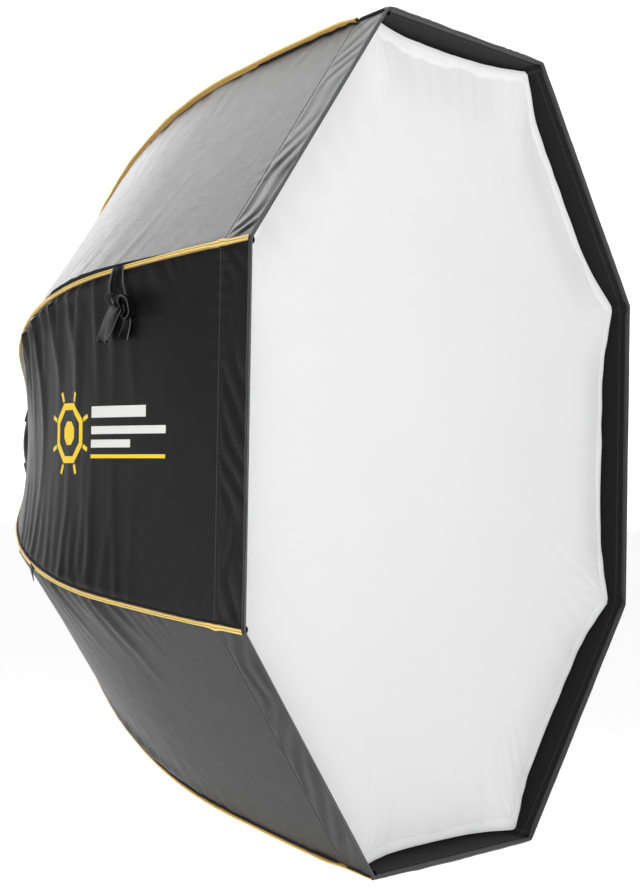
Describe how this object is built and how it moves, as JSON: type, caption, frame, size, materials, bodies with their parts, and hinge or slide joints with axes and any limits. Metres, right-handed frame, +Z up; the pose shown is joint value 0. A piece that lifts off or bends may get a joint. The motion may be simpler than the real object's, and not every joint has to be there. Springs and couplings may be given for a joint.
{
  "type": "studio softbox",
  "caption": "Octagonal folding softbox: black fabric shell on hinged spring ribs, white front diffuser, inner baffle, turning speedring with lock knob and bayonet mount.",
  "frame": {"origin": "centre of the seat face that lies against the lamp head", "axes": "+Y along the optical axis to the rear, the way the lamp head leaves; -Y is the way the light goes; +Z up"},
  "size_m": [1.128, 0.7093, 1.128],
  "materials": {
    "shell_fabric": "black nylon, satin",
    "diffuser_cloth": "white translucent nylon",
    "piping": "woven gold tape",
    "webbing": "black polypropylene webbing",
    "spring_steel": "bright",
    "cast_black": "powder coated, fine texture",
    "machined": "turned",
    "fastener": "zinc plated",
    "knob_plastic": "moulded",
    "pad": "turned"
  },
  "bodies": {
    "mount": {"bayonet_insert": "machined", "retaining_ring": "cast_black", "retaining_screws": "fastener"},
    "speedring": {"speedring_body": "cast_black", "hinge_pins": "fastener", "detent_springs": "fastener", "spring_rivets": "fastener", "rear_collar": "shell_fabric"},
    "lock_pad": {"pressure_pad": "pad"},
    "lock_knob": {"lock_knob": "knob_plastic", "lock_stud": "fastener"},
    "rib_1": {"rib_1_rod": "spring_steel", "rib_1_knuckle": "cast_black", "shell_gore_1": "shell_fabric", "piping_tape_1": "piping"},
    "rib_2": {"rib_2_rod": "spring_steel", "rib_2_knuckle": "cast_black", "shell_gore_2": "shell_fabric", "piping_tape_2": "piping"},
    "rib_3": {"rib_3_rod": "spring_steel", "rib_3_knuckle": "cast_black", "shell_gore_3": "shell_fabric", "piping_tape_3": "piping"},
    "rib_4": {"rib_4_rod": "spring_steel", "rib_4_knuckle": "cast_black", "shell_gore_4": "shell_fabric", "piping_tape_4": "piping", "tie_strap": "webbing"},
    "rib_5": {"rib_5_rod": "spring_steel", "rib_5_knuckle": "cast_black", "shell_gore_5": "shell_fabric", "piping_tape_5": "piping"},
    "rib_6": {"rib_6_rod": "spring_steel", "rib_6_knuckle": "cast_black", "shell_gore_6": "shell_fabric", "piping_tape_6": "piping"},
    "rib_7": {"rib_7_rod": "spring_steel", "rib_7_knuckle": "cast_black", "shell_gore_7": "shell_fabric", "piping_tape_7": "piping"},
    "rib_8": {"rib_8_rod": "spring_steel", "rib_8_knuckle": "cast_black", "shell_gore_8": "shell_fabric", "piping_tape_8": "piping"},
    "diffuser_1": {"diffuser_sector_1": "diffuser_cloth"},
    "diffuser_2": {"diffuser_sector_2": "diffuser_cloth"},
    "diffuser_3": {"diffuser_sector_3": "diffuser_cloth"},
    "diffuser_4": {"diffuser_sector_4": "diffuser_cloth"},
    "diffuser_5": {"diffuser_sector_5": "diffuser_cloth"},
    "diffuser_6": {"diffuser_sector_6": "diffuser_cloth"},
    "diffuser_7": {"diffuser_sector_7": "diffuser_cloth"},
    "diffuser_8": {"diffuser_sector_8": "diffuser_cloth"},
    "baffle_1": {"baffle_sector_1": "diffuser_cloth"},
    "baffle_2": {"baffle_sector_2": "diffuser_cloth"},
    "baffle_3": {"baffle_sector_3": "diffuser_cloth"},
    "baffle_4": {"baffle_sector_4": "diffuser_cloth"},
    "baffle_5": {"baffle_sector_5": "diffuser_cloth"},
    "baffle_6": {"baffle_sector_6": "diffuser_cloth"},
    "baffle_7": {"baffle_sector_7": "diffuser_cloth"},
    "baffle_8": {"baffle_sector_8": "diffuser_cloth"}
  },
  "joints": [
    {"name": "speedring_turn", "type": "hinge", "parent": "mount", "child": "speedring", "pos_m": [0, -0.02, 0], "axis": [0, 1, 0], "continuous": true},
    {"name": "lock_pad_slide", "type": "slide", "parent": "speedring", "child": "lock_pad", "axis": [0, 0, 1], "range_m": [0, 0.002]},
    {"name": "lock_knob_turn", "type": "hinge", "parent": "lock_pad", "child": "lock_knob", "pos_m": [0, -0.0135, 0.08], "axis": [0, 0, 1], "range_deg": [0, 720]},
    {"name": "rib_1_fold", "type": "hinge", "parent": "speedring", "child": "rib_1", "pos_m": [0.07853, -0.04, 0.03253], "axis": [0.3827, 0, -0.9239], "range_deg": [0, 40], "deforming": ["shell_gore_1", "detent_springs"]},
    {"name": "rib_2_fold", "type": "hinge", "parent": "speedring", "child": "rib_2", "pos_m": [0.03253, -0.04, 0.07853], "axis": [0.9239, 0, -0.3827], "range_deg": [0, 40], "deforming": ["shell_gore_2"]},
    {"name": "rib_3_fold", "type": "hinge", "parent": "speedring", "child": "rib_3", "pos_m": [-0.03253, -0.04, 0.07853], "axis": [0.9239, 0, 0.3827], "range_deg": [0, 40], "deforming": ["shell_gore_3"]},
    {"name": "rib_4_fold", "type": "hinge", "parent": "speedring", "child": "rib_4", "pos_m": [-0.07853, -0.04, 0.03253], "axis": [0.3827, 0, 0.9239], "range_deg": [0, 40], "deforming": ["shell_gore_4", "tie_strap"]},
    {"name": "rib_5_fold", "type": "hinge", "parent": "speedring", "child": "rib_5", "pos_m": [-0.07853, -0.04, -0.03253], "axis": [-0.3827, 0, 0.9239], "range_deg": [0, 40], "deforming": ["shell_gore_5"]},
    {"name": "rib_6_fold", "type": "hinge", "parent": "speedring", "child": "rib_6", "pos_m": [-0.03253, -0.04, -0.07853], "axis": [-0.9239, 0, 0.3827], "range_deg": [0, 40], "deforming": ["shell_gore_6"]},
    {"name": "rib_7_fold", "type": "hinge", "parent": "speedring", "child": "rib_7", "pos_m": [0.03253, -0.04, -0.07853], "axis": [-0.9239, 0, -0.3827], "range_deg": [0, 40], "deforming": ["shell_gore_7"]},
    {"name": "rib_8_fold", "type": "hinge", "parent": "speedring", "child": "rib_8", "pos_m": [0.07853, -0.04, -0.03253], "axis": [-0.3827, 0, -0.9239], "range_deg": [0, 40], "deforming": ["shell_gore_8"]},
    {"name": "diffuser_1_fold", "type": "hinge", "parent": "rib_1", "child": "diffuser_1", "pos_m": [0.54509, -0.67525, 0.22578], "axis": [0.3827, 0, -0.9239], "range_deg": [0, 43.8], "deforming": ["diffuser_sector_1"]},
    {"name": "diffuser_2_fold", "type": "hinge", "parent": "rib_2", "child": "diffuser_2", "pos_m": [0.22578, -0.67525, 0.54509], "axis": [0.9239, 0, -0.3827], "range_deg": [0, 43.8], "deforming": ["diffuser_sector_2"]},
    {"name": "diffuser_3_fold", "type": "hinge", "parent": "rib_3", "child": "diffuser_3", "pos_m": [-0.22578, -0.67525, 0.54509], "axis": [0.9239, 0, 0.3827], "range_deg": [0, 43.8], "deforming": ["diffuser_sector_3"]},
    {"name": "diffuser_4_fold", "type": "hinge", "parent": "rib_4", "child": "diffuser_4", "pos_m": [-0.54509, -0.67525, 0.22578], "axis": [0.3827, 0, 0.9239], "range_deg": [0, 43.8], "deforming": ["diffuser_sector_4"]},
    {"name": "diffuser_5_fold", "type": "hinge", "parent": "rib_5", "child": "diffuser_5", "pos_m": [-0.54509, -0.67525, -0.22578], "axis": [-0.3827, 0, 0.9239], "range_deg": [0, 43.8], "deforming": ["diffuser_sector_5"]},
    {"name": "diffuser_6_fold", "type": "hinge", "parent": "rib_6", "child": "diffuser_6", "pos_m": [-0.22578, -0.67525, -0.54509], "axis": [-0.9239, 0, 0.3827], "range_deg": [0, 43.8], "deforming": ["diffuser_sector_6"]},
    {"name": "diffuser_7_fold", "type": "hinge", "parent": "rib_7", "child": "diffuser_7", "pos_m": [0.22578, -0.67525, -0.54509], "axis": [-0.9239, 0, -0.3827], "range_deg": [0, 43.8], "deforming": ["diffuser_sector_7"]},
    {"name": "diffuser_8_fold", "type": "hinge", "parent": "rib_8", "child": "diffuser_8", "pos_m": [0.54509, -0.67525, -0.22578], "axis": [-0.3827, 0, -0.9239], "range_deg": [0, 43.8], "deforming": ["diffuser_sector_8"]},
    {"name": "baffle_1_fold", "type": "hinge", "parent": "rib_1", "child": "baffle_1", "pos_m": [0.45732, -0.39225, 0.18943], "axis": [0.3827, 0, -0.9239], "range_deg": [0, 29.7], "deforming": ["baffle_sector_1"]},
    {"name": "baffle_2_fold", "type": "hinge", "parent": "rib_2", "child": "baffle_2", "pos_m": [0.18943, -0.39225, 0.45732], "axis": [0.9239, 0, -0.3827], "range_deg": [0, 29.7], "deforming": ["baffle_sector_2"]},
    {"name": "baffle_3_fold", "type": "hinge", "parent": "rib_3", "child": "baffle_3", "pos_m": [-0.18943, -0.39225, 0.45732], "axis": [0.9239, 0, 0.3827], "range_deg": [0, 29.7], "deforming": ["baffle_sector_3"]},
    {"name": "baffle_4_fold", "type": "hinge", "parent": "rib_4", "child": "baffle_4", "pos_m": [-0.45732, -0.39225, 0.18943], "axis": [0.3827, 0, 0.9239], "range_deg": [0, 29.7], "deforming": ["baffle_sector_4"]},
    {"name": "baffle_5_fold", "type": "hinge", "parent": "rib_5", "child": "baffle_5", "pos_m": [-0.45732, -0.39225, -0.18943], "axis": [-0.3827, 0, 0.9239], "range_deg": [0, 29.7], "deforming": ["baffle_sector_5"]},
    {"name": "baffle_6_fold", "type": "hinge", "parent": "rib_6", "child": "baffle_6", "pos_m": [-0.18943, -0.39225, -0.45732], "axis": [-0.9239, 0, 0.3827], "range_deg": [0, 29.7], "deforming": ["baffle_sector_6"]},
    {"name": "baffle_7_fold", "type": "hinge", "parent": "rib_7", "child": "baffle_7", "pos_m": [0.18943, -0.39225, -0.45732], "axis": [-0.9239, 0, -0.3827], "range_deg": [0, 29.7], "deforming": ["baffle_sector_7"]},
    {"name": "baffle_8_fold", "type": "hinge", "parent": "rib_8", "child": "baffle_8", "pos_m": [0.45732, -0.39225, -0.18943], "axis": [-0.3827, 0, -0.9239], "range_deg": [0, 29.7], "deforming": ["baffle_sector_8"]}
  ],
  "couplings": [
    {"joint": "lock_knob_turn", "follows": "lock_pad_slide", "rad_per_m": 6283.2},
    {"joint": "rib_2_fold", "follows": "rib_1_fold", "ratio": 1},
    {"joint": "rib_3_fold", "follows": "rib_1_fold", "ratio": 1},
    {"joint": "rib_4_fold", "follows": "rib_1_fold", "ratio": 1},
    {"joint": "rib_5_fold", "follows": "rib_1_fold", "ratio": 1},
    {"joint": "rib_6_fold", "follows": "rib_1_fold", "ratio": 1},
    {"joint": "rib_7_fold", "follows": "rib_1_fold", "ratio": 1},
    {"joint": "rib_8_fold", "follows": "rib_1_fold", "ratio": 1},
    {"joint": "diffuser_1_fold", "follows": "rib_1_fold", "ratio": 1.095},
    {"joint": "diffuser_2_fold", "follows": "rib_1_fold", "ratio": 1.095},
    {"joint": "diffuser_3_fold", "follows": "rib_1_fold", "ratio": 1.095},
    {"joint": "diffuser_4_fold", "follows": "rib_1_fold", "ratio": 1.095},
    {"joint": "diffuser_5_fold", "follows": "rib_1_fold", "ratio": 1.095},
    {"joint": "diffuser_6_fold", "follows": "rib_1_fold", "ratio": 1.095},
    {"joint": "diffuser_7_fold", "follows": "rib_1_fold", "ratio": 1.095},
    {"joint": "diffuser_8_fold", "follows": "rib_1_fold", "ratio": 1.095},
    {"joint": "baffle_1_fold", "follows": "rib_1_fold", "ratio": 0.74},
    {"joint": "baffle_2_fold", "follows": "rib_1_fold", "ratio": 0.74},
    {"joint": "baffle_3_fold", "follows": "rib_1_fold", "ratio": 0.74},
    {"joint": "baffle_4_fold", "follows": "rib_1_fold", "ratio": 0.74},
    {"joint": "baffle_5_fold", "follows": "rib_1_fold", "ratio": 0.74},
    {"joint": "baffle_6_fold", "follows": "rib_1_fold", "ratio": 0.74},
    {"joint": "baffle_7_fold", "follows": "rib_1_fold", "ratio": 0.74},
    {"joint": "baffle_8_fold", "follows": "rib_1_fold", "ratio": 0.74}
  ]
}
